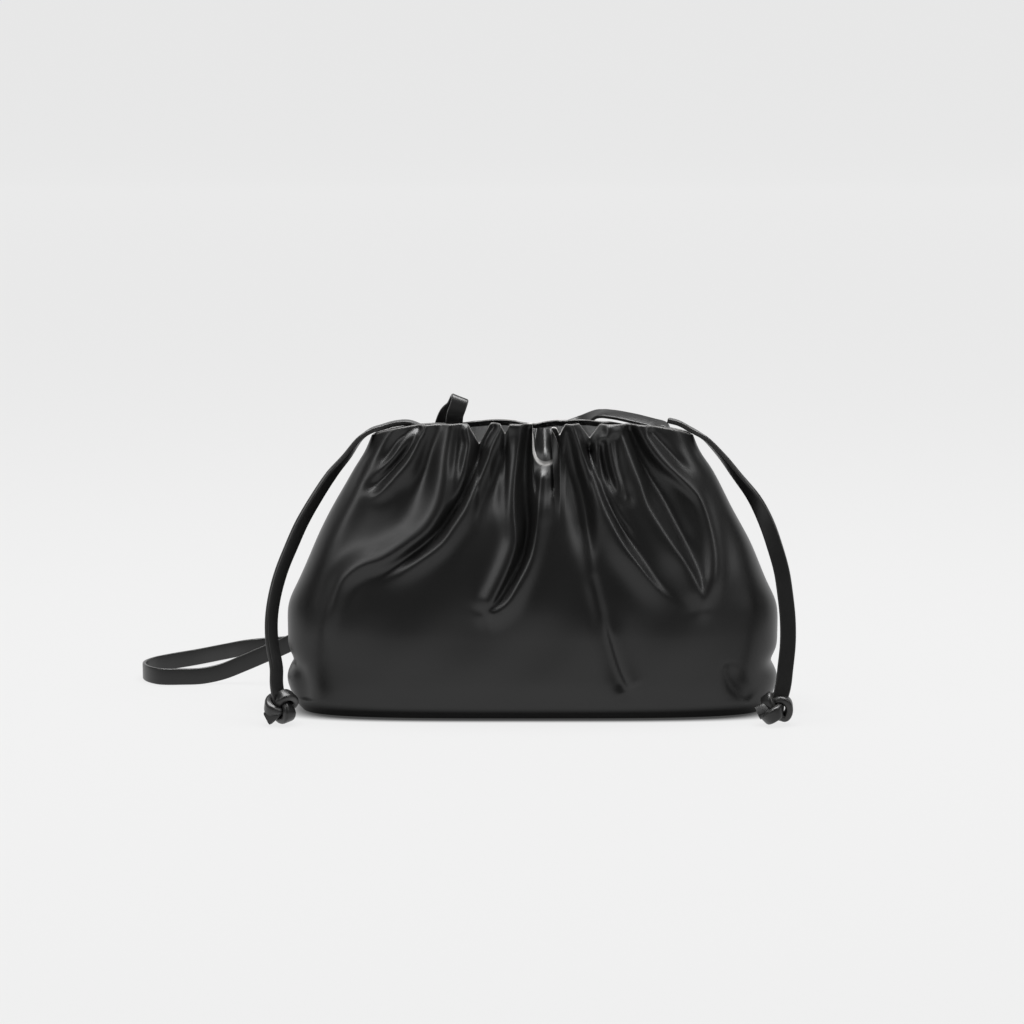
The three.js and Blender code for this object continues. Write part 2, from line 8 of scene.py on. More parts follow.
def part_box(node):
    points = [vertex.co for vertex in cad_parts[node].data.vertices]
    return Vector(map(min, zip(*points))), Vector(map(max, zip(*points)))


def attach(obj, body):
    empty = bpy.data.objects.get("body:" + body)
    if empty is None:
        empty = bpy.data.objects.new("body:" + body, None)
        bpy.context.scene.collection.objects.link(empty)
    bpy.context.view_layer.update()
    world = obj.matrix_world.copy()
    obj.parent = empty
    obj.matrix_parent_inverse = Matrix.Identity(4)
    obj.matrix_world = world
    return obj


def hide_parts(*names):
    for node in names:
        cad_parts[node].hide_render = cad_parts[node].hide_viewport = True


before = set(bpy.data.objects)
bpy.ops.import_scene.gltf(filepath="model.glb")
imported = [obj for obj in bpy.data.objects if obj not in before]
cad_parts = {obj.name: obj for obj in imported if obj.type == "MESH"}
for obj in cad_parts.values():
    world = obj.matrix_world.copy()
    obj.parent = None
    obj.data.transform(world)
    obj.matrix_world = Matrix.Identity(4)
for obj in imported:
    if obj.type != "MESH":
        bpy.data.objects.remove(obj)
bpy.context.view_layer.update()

print("frame loaded")

scene = bpy.context.scene
scene.view_settings.view_transform = "Standard"  # plain tones, so black leather stays black


# camera: low and far, as the photo was taken
cameraSetup = {
    "place": (-0.0125, -1.8, 0.397),
    "downward": 8.76,  # degrees
    "lens": 104.77,  # mm on a 36 mm sensor
}


def makeCamera():
    data = bpy.data.cameras.new("camera")
    data.lens = cameraSetup["lens"]
    data.sensor_width = 36
    data.clip_end = 120
    camera = bpy.data.objects.new("camera", data)
    camera.location = cameraSetup["place"]
    camera.rotation_euler = (radians(90 - cameraSetup["downward"]), 0, 0)
    scene.collection.objects.link(camera)
    scene.camera = camera


makeCamera()


# small helpers
def smoothStep(low, high, value):
    s = np.clip((value - low) / (high - low), 0, 1)
    return s * s * (3 - 2 * s)


def smoothRoute(points, perSpan):
    # centripetal Catmull-Rom through the points, perSpan steps from each to the next
    pts = np.asarray(points, float)
    pts = np.vstack([2 * pts[0] - pts[1], pts, 2 * pts[-1] - pts[-2]])
    out = []
    for i in range(1, len(pts) - 2):
        p0, p1, p2, p3 = pts[i - 1 : i + 3]
        t0 = 0.0
        t1 = t0 + np.linalg.norm(p1 - p0) ** 0.5
        t2 = t1 + np.linalg.norm(p2 - p1) ** 0.5
        t3 = t2 + np.linalg.norm(p3 - p2) ** 0.5
        for k in range(perSpan):
            t = t1 + (t2 - t1) * k / perSpan
            a1 = (t1 - t) / (t1 - t0) * p0 + (t - t0) / (t1 - t0) * p1
            a2 = (t2 - t) / (t2 - t1) * p1 + (t - t1) / (t2 - t1) * p2
            a3 = (t3 - t) / (t3 - t2) * p2 + (t - t2) / (t3 - t2) * p3
            b1 = (t2 - t) / (t2 - t0) * a1 + (t - t0) / (t2 - t0) * a2
            b2 = (t3 - t) / (t3 - t1) * a2 + (t - t1) / (t3 - t1) * a3
            out.append((t2 - t) / (t2 - t1) * b1 + (t - t1) / (t2 - t1) * b2)
    out.append(pts[-2])
    return np.array(out)


def routeLength(points):
    return float(np.linalg.norm(np.diff(points, axis=0), axis=1).sum())


def meshObject(name, corners, edges, faces):
    mesh = bpy.data.meshes.new(name)
    mesh.from_pydata([tuple(c) for c in corners], edges, faces)
    mesh.update()
    obj = bpy.data.objects.new(name, mesh)
    scene.collection.objects.link(obj)
    return obj


def shadeSmooth(obj):
    obj.data.polygons.foreach_set("use_smooth", [True] * len(obj.data.polygons))
    obj.data.update()


def rgba(grey, warmth=0.0):
    return (grey * (1 + warmth), grey, grey * (1 - warmth), 1)


# leathers. "edge" is painted on rims and band edges, where the cut shows or the finish is rubbed; on the pouch's rim it
# also carries a painted highlight
leatherLooks = {
    "pouchLeather": {"grey": 0.0045, "roughness": 0.385, "grain": 0.00002, "grainScale": 1100,
                     "edgeAndHighlightGrey": 0.42, "edgeRoughness": 0.5},
    "laceLeather": {"grey": 0.006, "roughness": 0.38, "grain": 0.00003, "grainScale": 1500,
                    "edgeAndHighlightGrey": 0.02, "edgeRoughness": 0.35},
    "strapLeather": {"grey": 0.006, "roughness": 0.36, "grain": 0.00003, "grainScale": 1300,
                     "edgeAndHighlightGrey": 0.02, "edgeRoughness": 0.3},
}


def leatherMaterial(name):
    look = leatherLooks[name]
    material = bpy.data.materials.new(name)
    material.use_nodes = True
    nodes, links = material.node_tree.nodes, material.node_tree.links
    shader = nodes["Principled BSDF"]
    shader.inputs["Specular IOR Level"].default_value = 0.46
    shader.inputs["Coat Weight"].default_value = 0.12  # the thin finish on smooth leather
    shader.inputs["Coat Roughness"].default_value = 0.28
    where = nodes.new("ShaderNodeTexCoord")

    # soft clouds of colour and gloss, as hide has
    cloud = nodes.new("ShaderNodeTexNoise")
    cloud.inputs["Scale"].default_value = 16
    cloud.inputs["Detail"].default_value = 5
    links.new(where.outputs["Object"], cloud.inputs["Vector"])
    tint = nodes.new("ShaderNodeMix")
    tint.data_type = "RGBA"
    tint.inputs["A"].default_value = rgba(look["grey"] * 0.7, -0.03)
    tint.inputs["B"].default_value = rgba(look["grey"] * 1.35, 0.03)
    links.new(cloud.outputs["Fac"], tint.inputs["Factor"])
    gloss = nodes.new("ShaderNodeMapRange")
    gloss.inputs["To Min"].default_value = look["roughness"] - 0.05
    gloss.inputs["To Max"].default_value = look["roughness"] + 0.07
    links.new(cloud.outputs["Fac"], gloss.inputs["Value"])

    # cut or rubbed edges, and on the pouch's rim a painted highlight where the edge catches the light
    edge = nodes.new("ShaderNodeAttribute")
    edge.attribute_name = "edge"
    edgeAndHighlightTint = nodes.new("ShaderNodeMix")
    edgeAndHighlightTint.data_type = "RGBA"
    edgeAndHighlightTint.inputs["B"].default_value = rgba(look["edgeAndHighlightGrey"], 0.02)
    links.new(edge.outputs["Fac"], edgeAndHighlightTint.inputs["Factor"])
    links.new(tint.outputs["Result"], edgeAndHighlightTint.inputs["A"])
    links.new(edgeAndHighlightTint.outputs["Result"], shader.inputs["Base Color"])
    edgeGloss = nodes.new("ShaderNodeMix")
    edgeGloss.inputs["B"].default_value = look["edgeRoughness"]
    links.new(edge.outputs["Fac"], edgeGloss.inputs["Factor"])
    links.new(gloss.outputs["Result"], edgeGloss.inputs["A"])
    links.new(edgeGloss.outputs["Result"], shader.inputs["Roughness"])

    # grain: small cells, a little stretched by slow wrinkles
    cells = nodes.new("ShaderNodeTexVoronoi")
    cells.inputs["Scale"].default_value = look["grainScale"]
    links.new(where.outputs["Object"], cells.inputs["Vector"])
    wrinkle = nodes.new("ShaderNodeTexNoise")
    wrinkle.inputs["Scale"].default_value = 160
    wrinkle.inputs["Detail"].default_value = 6
    links.new(where.outputs["Object"], wrinkle.inputs["Vector"])
    grain = nodes.new("ShaderNodeMath")
    grain.operation = "MULTIPLY_ADD"
    grain.inputs[1].default_value = 1.6
    links.new(wrinkle.outputs["Fac"], grain.inputs[0])
    links.new(cells.outputs["Distance"], grain.inputs[2])
    bump = nodes.new("ShaderNodeBump")
    bump.inputs["Strength"].default_value = 0.35
    bump.inputs["Distance"].default_value = look["grain"]
    links.new(grain.outputs["Value"], bump.inputs["Height"])
    links.new(bump.outputs["Normal"], shader.inputs["Normal"])
    return material


suedeLook = {"grey": 0.5, "nap": 0.00015, "napScale": 700}


def suedeMaterial():
    # the flesh side of the leather, seen through the mouth
    material = bpy.data.materials.new("insideSuede")
    material.use_nodes = True
    nodes, links = material.node_tree.nodes, material.node_tree.links
    shader = nodes["Principled BSDF"]
    shader.inputs["Roughness"].default_value = 0.95
    shader.inputs["Specular IOR Level"].default_value = 0.2
    shader.inputs["Sheen Weight"].default_value = 0.3
    where = nodes.new("ShaderNodeTexCoord")
    nap = nodes.new("ShaderNodeTexNoise")
    nap.inputs["Scale"].default_value = suedeLook["napScale"]
    nap.inputs["Detail"].default_value = 6
    links.new(where.outputs["Object"], nap.inputs["Vector"])
    tint = nodes.new("ShaderNodeMix")
    tint.data_type = "RGBA"
    tint.inputs["A"].default_value = rgba(suedeLook["grey"] * 0.75)
    tint.inputs["B"].default_value = rgba(suedeLook["grey"] * 1.25)
    links.new(nap.outputs["Fac"], tint.inputs["Factor"])
    links.new(tint.outputs["Result"], shader.inputs["Base Color"])
    bump = nodes.new("ShaderNodeBump")
    bump.inputs["Strength"].default_value = 0.5
    bump.inputs["Distance"].default_value = suedeLook["nap"]
    links.new(nap.outputs["Fac"], bump.inputs["Height"])
    links.new(bump.outputs["Normal"], shader.inputs["Normal"])
    return material


pouchLeather = leatherMaterial("pouchLeather")
laceLeather = leatherMaterial("laceLeather")
strapLeather = leatherMaterial("strapLeather")
insideSuede = suedeMaterial()
print("leathers made")


# flat bands: laces, knots and strap are one Geometry Nodes tree along a route. The route's "face" attribute
# says which way the band's flat side looks
def bandTree():
    tree = bpy.data.node_groups.new("flatBand", "GeometryNodeTree")
    face = tree.interface
    face.new_socket("Route", in_out="INPUT", socket_type="NodeSocketGeometry")
    for name in ("Width", "Thickness", "Rounding"):
        face.new_socket(name, in_out="INPUT", socket_type="NodeSocketFloat")
    face.new_socket("Leather", in_out="INPUT", socket_type="NodeSocketMaterial")
    face.new_socket("Band", in_out="OUTPUT", socket_type="NodeSocketGeometry")
    nodes, links = tree.nodes, tree.links
    source, result = nodes.new("NodeGroupInput"), nodes.new("NodeGroupOutput")

    curve = nodes.new("GeometryNodeMeshToCurve")
    links.new(source.outputs["Route"], curve.inputs["Mesh"])
    facing = nodes.new("GeometryNodeInputNamedAttribute")
    facing.data_type = "FLOAT_VECTOR"
    facing.inputs["Name"].default_value = "face"
    turn = nodes.new("GeometryNodeSetCurveNormal")
    turn.mode = "FREE"
    links.new(curve.outputs["Curve"], turn.inputs["Curve"])
    links.new(facing.outputs["Attribute"], turn.inputs["Normal"])

    outline = nodes.new("GeometryNodeCurvePrimitiveQuadrilateral")
    links.new(source.outputs["Thickness"], outline.inputs["Width"])
    links.new(source.outputs["Width"], outline.inputs["Height"])
    rounded = nodes.new("GeometryNodeFilletCurve")
    rounded.mode = "POLY"
    rounded.inputs["Count"].default_value = 4
    links.new(outline.outputs["Curve"], rounded.inputs["Curve"])
    links.new(source.outputs["Rounding"], rounded.inputs["Radius"])

    # paint the narrow sides as edges
    place = nodes.new("GeometryNodeInputPosition")
    split = nodes.new("ShaderNodeSeparateXYZ")
    links.new(place.outputs["Position"], split.inputs["Vector"])
    away = nodes.new("ShaderNodeMath")
    away.operation = "ABSOLUTE"
    links.new(split.outputs["Y"], away.inputs[0])
    half = nodes.new("ShaderNodeMath")
    half.operation = "MULTIPLY"
    half.inputs[1].default_value = 0.5
    links.new(source.outputs["Width"], half.inputs[0])
    shy = nodes.new("ShaderNodeMath")
    shy.operation = "MULTIPLY"
    shy.inputs[1].default_value = 0.42
    links.new(source.outputs["Width"], shy.inputs[0])
    share = nodes.new("ShaderNodeMapRange")
    links.new(away.outputs["Value"], share.inputs["Value"])
    links.new(shy.outputs["Value"], share.inputs["From Min"])
    links.new(half.outputs["Value"], share.inputs["From Max"])
    paint = nodes.new("GeometryNodeStoreNamedAttribute")
    paint.data_type = "FLOAT"
    paint.domain = "POINT"
    paint.inputs["Name"].default_value = "edge"
    links.new(rounded.outputs["Curve"], paint.inputs["Geometry"])
    links.new(share.outputs["Result"], paint.inputs["Value"])

    sweep = nodes.new("GeometryNodeCurveToMesh")
    sweep.inputs["Fill Caps"].default_value = True
    links.new(turn.outputs["Curve"], sweep.inputs["Curve"])
    links.new(paint.outputs["Geometry"], sweep.inputs["Profile Curve"])
    shade = nodes.new("GeometryNodeSetShadeSmooth")
    links.new(sweep.outputs["Mesh"], shade.inputs["Geometry"])
    real = nodes.new("GeometryNodeRealizeInstances")
    links.new(shade.outputs["Geometry"], real.inputs["Geometry"])
    finish = nodes.new("GeometryNodeSetMaterial")
    links.new(real.outputs["Geometry"], finish.inputs["Geometry"])
    links.new(source.outputs["Leather"], finish.inputs["Material"])
    links.new(finish.outputs["Geometry"], result.inputs["Band"])
    return tree


flatBand = bandTree()


def socketNames(tree):
    return {item.name: item.identifier for item in tree.interface.items_tree if item.in_out == "INPUT"}


def makeBand(name, routes, sizes, leather):
    # routes: (points, faces, closed) one after another; sizes: width, thickness, rounding
    corners, facing, edges = [], [], []
    for points, faces, closed in routes:
        first = len(corners)
        corners += [tuple(p) for p in points]
        facing += [tuple(f) for f in faces]
        edges += [(first + i, first + i + 1) for i in range(len(points) - 1)]
        if closed:
            edges.append((first + len(points) - 1, first))
    guide = meshObject(name + "_route", corners, edges, [])
    attribute = guide.data.attributes.new("face", "FLOAT_VECTOR", "POINT")
    attribute.data.foreach_set("vector", np.array(facing, float).ravel())
    modifier = guide.modifiers.new("band", "NODES")
    modifier.node_group = flatBand
    ids = socketNames(flatBand)
    modifier[ids["Width"]] = sizes["width"]
    modifier[ids["Thickness"]] = sizes["thickness"]
    modifier[ids["Rounding"]] = sizes["rounding"]
    modifier[ids["Leather"]] = leather
    bpy.context.view_layer.update()
    made = guide.evaluated_get(bpy.context.evaluated_depsgraph_get())
    mesh = bpy.data.meshes.new_from_object(made)
    mesh.name = name
    band = bpy.data.objects.new(name, mesh)
    scene.collection.objects.link(band)
    bpy.data.objects.remove(guide)
    return band


def facesAlong(points, widths):
    # the way each point's flat side looks: square to the run and to the band's width
    runs = np.gradient(points, axis=0)
    runs /= np.linalg.norm(runs, axis=1)[:, None]
    faces = np.cross(runs, widths)
    return faces / np.linalg.norm(faces, axis=1)[:, None]


def stationRoute(stations, perSpan):
    # stations: (place, width direction). The width turns evenly from each station to the next
    places = np.array([s[0] for s in stations], float)
    widths = np.array([s[1] for s in stations], float)
    points = smoothRoute(places, perSpan)
    spans = np.arange(len(points)) / perSpan
    i = np.minimum(spans.astype(int), len(stations) - 2)
    share = (spans - i)[:, None]
    turned = widths[i] * (1 - share) + widths[i + 1] * share
    return points, facesAlong(points, turned)


# the pouch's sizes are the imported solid's; the laces and the strap are measured from them too
pouchLow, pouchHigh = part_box("pouch_body")
pouch = {
    "width": pouchHigh[0] - pouchLow[0] - 0.0002,
    "depth": pouchHigh[1] - pouchLow[1],
    "height": pouchHigh[2] - pouchLow[2],
    "mouthWidth": 0.196,
    "mouthDepth": 0.040,
    "leather": 0.0022,
    "shoulderDrop": 0.009,
    "backDrop": 0.0025,
    "notchDepth": 0.024,
    "notchWidth": 0.016,
    "lipFlare": 0.005,
    "foldDepth": 0.009,
    "foldWidth": 0.011,
    "puckerDepth": 0.004,
    "waveHeight": 0.0005,
    "deepFolds": 0.007,
    "columns": 520,
    "rowsOutside": 150,
    "rowsInside": 32,
}
halfWide, halfDeep, tall = pouch["width"] / 2, pouch["depth"] / 2, pouch["height"]


# laces: x, z and twist for the left and the right, y for both. x and y are shares of half the width and depth,
# z of the height; the twist goes from lying level over the rim (0) to facing the front (1)
lace = {"width": 0.0095, "thickness": 0.003, "rounding": 0.0009, "stepsPerRow": 5}
laceRows = [
    # leftX, rightX, y, leftZ, rightZ, leftTwist, rightTwist
    (0.43, 0.55, 0.06, 0.965, 0.998, 0.1, 0.1),
    (0.5, 0.585, 0.04, 0.99, 0.991, 0.05, 0.05),
    (0.56, 0.61, 0.02, 0.988, 0.982, 0.05, 0.05),
    (0.61, 0.635, 0.0, 0.976, 0.97, 0.0, 0.0),
    (0.65, 0.662, -0.03, 0.966, 0.958, 0.05, 0.05),
    (0.695, 0.7, -0.09, 0.94, 0.938, 0.15, 0.15),
    (0.75, 0.765, -0.17, 0.88, 0.88, 0.3, 0.25),
    (0.81, 0.82, -0.25, 0.82, 0.82, 0.42, 0.35),
    (0.872, 0.891, -0.34, 0.741, 0.741, 0.45, 0.5),
    (0.926, 0.938, -0.43, 0.662, 0.662, 0.47, 0.65),
    (0.968, 0.97, -0.53, 0.583, 0.583, 0.47, 0.8),
    (1.005, 0.995, -0.62, 0.505, 0.505, 0.45, 0.9),
    (1.03, 1.008, -0.72, 0.426, 0.426, 0.43, 1.0),
    (1.042, 1.016, -0.81, 0.348, 0.348, 0.42, 1.0),
    (1.038, 1.015, -0.9, 0.27, 0.27, 0.42, 1.0),
    (1.02, 1.004, -0.98, 0.19, 0.19, 0.45, 1.0),
]


def laceStations(left):
    way, knot = (-1, "left_knot") if left else (1, "right_knot")
    stations = []
    for leftX, rightX, y, leftZ, rightZ, leftTwist, rightTwist in laceRows:
        x, z, twist = (leftX, leftZ, leftTwist) if left else (rightX, rightZ, rightTwist)
        stations.append(((way * x * halfWide, y * halfDeep, z * tall), (way * twist, twist - 1, 0)))
    low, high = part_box(knot)
    middle = [(a + b) / 2 for a, b in zip(low, high)]
    lastPlace, lastWide = stations[-1]
    side = 0.0015 * way
    stations.append((((lastPlace[0] + middle[0]) / 2 + side, (lastPlace[1] + middle[1]) / 2, high[2] + 0.006), lastWide))
    stations.append(((middle[0] + side, middle[1], high[2] - 0.004), lastWide))
    return stations


# knots: an overhand knot pulled tight, with a short tail
knot = {"strandWidth": 0.0082, "strandThickness": 0.0046, "rounding": 0.0017, "loop": 0.0054, "depth": 0.0044,
        "points": 120, "tail": 0.011, "foot": 0.0002}
knotPoses = {
    # spin and lean in radians, tail direction in the knot's own plane
    "left_knot": {"spin": 0.35, "lean": 0.15, "tailWay": (-0.75, -0.66)},
    "right_knot": {"spin": -0.6, "lean": 0.75, "tailWay": (-0.95, -0.3)},
}


def knotRoutes(name):
    pose = knotPoses[name]
    low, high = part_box(name)
    t = np.arange(knot["points"]) / knot["points"] * 2 * pi
    loop = np.stack([(np.sin(t) + 2 * np.sin(2 * t)) / 3, (np.cos(t) - 2 * np.cos(2 * t)) / 3,
                     -np.sin(3 * t)], axis=1)
    loop *= np.array([knot["loop"] * 1.5, knot["loop"] * 1.5, knot["depth"]])
    out = loop / np.linalg.norm(loop, axis=1)[:, None]
    runs = np.roll(loop, -1, axis=0) - np.roll(loop, 1, axis=0)
    runs /= np.linalg.norm(runs, axis=1)[:, None]
    faces = out - (out * runs).sum(axis=1)[:, None] * runs
    faces /= np.linalg.norm(faces, axis=1)[:, None]
    tailX, tailY = pose["tailWay"]
    start = np.array([0, 0, 0.001])
    end = np.array([tailX, tailY, 0]) * (knot["loop"] + knot["tail"] - 0.005)
    tail = smoothRoute([start, start * 0.5 + end * 0.5 + np.array([0, 0, 0.0015]), end], 6)
    tailFaces = facesAlong(tail, np.tile(np.cross(end / np.linalg.norm(end), (0, 0, 1)), (len(tail), 1)))

    c, s = cos(pose["spin"]), sin(pose["spin"])
    spin = np.array([[c, -s, 0], [s, c, 0], [0, 0, 1]])
    c, s = cos(pi / 2 - pose["lean"]), sin(pi / 2 - pose["lean"])
    lean = np.array([[1, 0, 0], [0, c, -s], [0, s, c]])
    turned = (lean @ spin).T
    loop, faces, tail, tailFaces = loop @ turned, faces @ turned, tail @ lean.T, tailFaces @ lean.T
    middle = np.array([(low[0] + high[0]) / 2, (low[1] + high[1]) / 2, 0])
    rise = knot["strandThickness"] * 0.62 - loop[:, 2].min()
    middle[2] = rise
    tail[:, 2] = np.maximum(tail[:, 2], knot["strandWidth"] * 0.45 - rise)
    return [(loop + middle, faces, True), (tail + middle, tailFaces, False)]


def makeLaces():
    for side in ("left", "right"):
        points, faces = stationRoute(laceStations(side == "left"), lace["stepsPerRow"])
        band = makeBand(side + "Lace", [(points, faces, False)], lace, laceLeather)
        tied = makeBand(side + "Knot", knotRoutes(side + "_knot"),
                        {"width": knot["strandWidth"], "thickness": knot["strandThickness"],
                         "rounding": knot["rounding"]}, laceLeather)
        heights = [corner.co.z for corner in tied.data.vertices]
        tied.data.transform(Matrix.Translation((0, 0, knot["foot"] - min(heights))))
        for piece, node in ((band, side + "_lace"), (tied, side + "_knot")):
            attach(piece, "root")
            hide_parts(node)
        print(side, "lace made,", round(routeLength(points) * 1000), "mm long")


makeLaces()


# the pouch itself. Level sections: height, spread from mouth to full width, belly from mouth to full depth, squareness
sectionRows = np.array([
    (0.00, 0.82, 0.66, 3.6),
    (0.03, 0.905, 0.84, 3.4),
    (0.075, 0.96, 0.92, 3.2),
    (0.14, 0.99, 0.98, 3.0),
    (0.28, 1.0, 1.0, 2.9),
    (0.36, 0.97, 0.97, 2.8),
    (0.44, 0.865, 0.9, 2.7),
    (0.56, 0.69, 0.76, 2.6),
    (0.67, 0.515, 0.58, 2.5),
    (0.78, 0.345, 0.38, 2.4),
    (0.87, 0.205, 0.22, 2.3),
    (0.94, 0.08, 0.1, 2.2),
    (1.00, 0.0, 0.0, 2.2),
])

# folds on the front, in mm: the line that each follows (across, up), how far it stands out, the widths of its
# left and right flanks, and the share of its run where it starts to fade
frontFolds = [
    ([(-81, 173), (-92, 161), (-102, 145), (-109, 130), (-119, 112), (-130, 88), (-134, 65)], 4, 7, 7, 0.3),
    ([(-72, 174), (-82, 166), (-88, 157), (-95, 148)], -3.5, 4, 3, 0.6),
    ([(-71, 169), (-80, 159), (-88, 151), (-97, 141)], 2, 3, 3, 0.6),
    ([(-69, 172), (-76, 159), (-84, 149), (-93, 139), (-101, 134)], -4, 3.5, 2, 0.7),
    ([(-62, 176), (-69, 164), (-76, 153), (-84, 145), (-93, 137), (-103, 131)], 5, 2.5, 7, 0.7),
    ([(-58, 175), (-63, 161), (-68, 144), (-74, 129), (-80, 114)], -4, 5, 7, 0.4),
    ([(-49, 176), (-52, 161), (-53, 144), (-56, 129), (-63, 117), (-75, 107), (-89, 98), (-102, 93), (-112, 85),
      (-118, 72), (-123, 54), (-124, 39)], 5, 8, 5, 0.7),
    ([(-45, 173), (-46, 158), (-48, 144)], -1.5, 3, 3, 0.6),
    ([(-40, 173), (-38, 165), (-40, 155), (-43, 141), (-48, 127)], 3, 3, 3, 0.6),
    ([(-24, 174), (-29, 161), (-35, 147), (-42, 132), (-50, 120), (-57, 110), (-69, 101), (-81, 93), (-93, 86)],
     -5, 4, 2, 0.7),
    ([(-18, 174), (-25, 164), (-32, 149), (-38, 134), (-45, 122), (-54, 111), (-65, 102), (-78, 93), (-90, 84)],
     6, 2.5, 8, 0.6),
    ([(-15, 170), (-21, 150), (-28, 132), (-35, 115)], -4, 6, 7, 0.5),
    ([(-7, 174), (-10, 158), (-12, 141), (-12, 124), (-11, 109), (-15, 96), (-21, 83), (-26, 73), (-29, 66)],
     5, 7, 3.5, 0.85),
    ([(-3, 173), (-4, 156), (-4, 132), (-3, 115), (-6, 98), (-14, 80)], -5, 4, 4, 0.7),
    ([(5, 145), (4, 130), (2, 115), (-2, 99), (-8, 85), (-15, 73), (-23, 67), (-29, 65)], 4.5, 2.5, 6, 0.85),
    ([(8, 150), (8, 132), (8, 115)], 3, 6, 9, 0.3),
    ([(20, 170), (25, 150), (30, 129), (33, 106), (35, 89)], -7, 9, 5, 0.6),
    ([(31, 109), (35, 89), (40, 68), (45, 47), (50, 31), (56, 18)], -3, 6, 2, 0.9),
    ([(42, 68), (48, 50), (54, 31), (59, 20)], 2, 2.5, 6, 0.9),
    ([(23, 175), (28, 162), (34, 150), (40, 135), (46, 122), (53, 108), (62, 95), (73, 81), (87, 69)], 6, 9, 2.5, 0.65),
    ([(34, 160), (38, 147), (44, 133), (50, 121), (58, 108), (67, 97)], -4, 2, 3, 0.5),
    ([(41, 168), (38, 156), (40, 145), (47, 132), (53, 121), (62, 113)], 2.5, 2, 2.5, 0.6),
    ([(42, 164), (45, 149), (49, 135)], -3, 3, 3, 0.6),
    ([(45, 174), (46, 161), (49, 149), (52, 139), (53, 129)], 4, 2.5, 5, 0.6),
    ([(49, 167), (52, 149), (57, 135), (59, 126)], -2.5, 3, 3, 0.6),
    ([(53, 173), (58, 158), (63, 143), (67, 130), (74, 118), (83, 105), (92, 93), (98, 79), (101, 67)], 4.5, 9, 4, 0.85),
    ([(59, 171), (68, 151), (79, 134), (88, 117), (96, 101), (100, 84)], -5, 5, 6, 0.7),
    ([(64, 173), (71, 161), (79, 152), (89, 143), (99, 132), (105, 116), (107, 101), (106, 84), (102, 68)],
     4.5, 3, 7, 0.85),
    ([(72, 170), (84, 157), (96, 144)], -2.5, 3, 3, 0.6),
    ([(90, 172), (98, 159), (104, 145), (108, 130)], 3.5, 8, 8, 0.3),
    ([(119, 36), (118, 29), (122, 20), (133, 10)], -1.5, 2.5, 6, 0.9),
    ([(-146, 31), (-141, 21), (-140, 8)], -3, 5, 6, 0.9),
]
# folds on the back, the same as the solid's, in shares of half the width, of the height, and of the fold sizes
backFolds = [
    ([(-0.5, 1.0), (-0.62, 0.82), (-0.74, 0.6)], 0.45, 1.0, 0.8),
    ([(-0.42, 1.0), (-0.5, 0.78), (-0.6, 0.55)], -0.5, 0.8, 0.8),
    ([(-0.33, 1.0), (-0.4, 0.72), (-0.52, 0.42)], 0.5, 0.8, 1.0),
    ([(-0.24, 1.0), (-0.28, 0.75), (-0.36, 0.5)], -0.5, 0.8, 0.8),
    ([(-0.14, 1.0), (-0.17, 0.7), (-0.2, 0.36)], 0.5, 0.9, 0.9),
    ([(-0.05, 1.0), (-0.04, 0.74), (-0.06, 0.5)], -0.5, 0.8, 0.8),
    ([(0.05, 1.0), (0.07, 0.7), (0.1, 0.44)], 0.45, 0.8, 0.9),
    ([(0.12, 1.0), (0.165, 0.74), (0.225, 0.46)], -0.5, 0.8, 0.8),
    ([(0.195, 1.0), (0.27, 0.7), (0.4, 0.38)], 0.5, 0.9, 0.8),
    ([(0.28, 1.0), (0.38, 0.76), (0.52, 0.54)], -0.5, 0.8, 0.8),
    ([(0.45, 1.0), (0.56, 0.78), (0.7, 0.52)], 0.5, 0.9, 1.0),
]

# rim notches: place as a share of half the mouth, drop, width
frontNotches = [(-0.33, 0.52, 0.85), (-0.17, 0.25, 0.35), (0.167, 0.3, 0.4), (0.35, 0.36, 0.8)]
backNotches = [(-0.5, 0.1, 1.6), (0.02, 0.1, 1.6), (0.62, 0.1, 1.6)]
# side puckers: height, push, tall
sidePuckers = [(0.37, 0.15, 0.06), (0.17, -0.9, 0.035), (0.1, 0.25, 0.04)]

# the pleat in the middle whose lip hangs in a U. Its rim runs through these places, in mm from the rim above its
# middle: share of the way across, across, down
lipMiddle = 0.0078
lipRows = np.array([
    (-1.0, -8.0, 0.0),
    (-0.8, -8.3, -7.0),
    (-0.55, -8.2, -16.0),
    (-0.28, -5.2, -22.3),
    (0.0, 0.0, -24.0),
    (0.28, 5.6, -21.8),
    (0.5, 8.0, -16.0),
    (0.72, 6.4, -8.5),
    (0.9, 3.4, -1.2),
    (1.0, 6.5, 0.0),
])


def sectionColumn(column, height):
    h = np.clip(height, 0, 1)
    rows = sectionRows
    i = np.clip(np.searchsorted(rows[:, 0], h, side="right") - 1, 0, len(rows) - 2)
    before = np.maximum(np.arange(len(rows)) - 1, 0)
    after = np.minimum(np.arange(len(rows)) + 1, len(rows) - 1)
    slope = (rows[after, column] - rows[before, column]) / (rows[after, 0] - rows[before, 0])
    step = rows[i + 1, 0] - rows[i, 0]
    s = (h - rows[i, 0]) / step
    return (
        (2 * s**3 - 3 * s**2 + 1) * rows[i, column]
        + (s**3 - 2 * s**2 + s) * step * slope[i]
        + (3 * s**2 - 2 * s**3) * rows[i + 1, column]
        + (s**3 - s**2) * step * slope[i + 1]
    )


def halfWidthAt(height):
    return (pouch["mouthWidth"] + (pouch["width"] - pouch["mouthWidth"]) * sectionColumn(1, height)) / 2


def halfDepthAt(height):
    return (pouch["mouthDepth"] + (pouch["depth"] - pouch["mouthDepth"]) * sectionColumn(2, height)) / 2


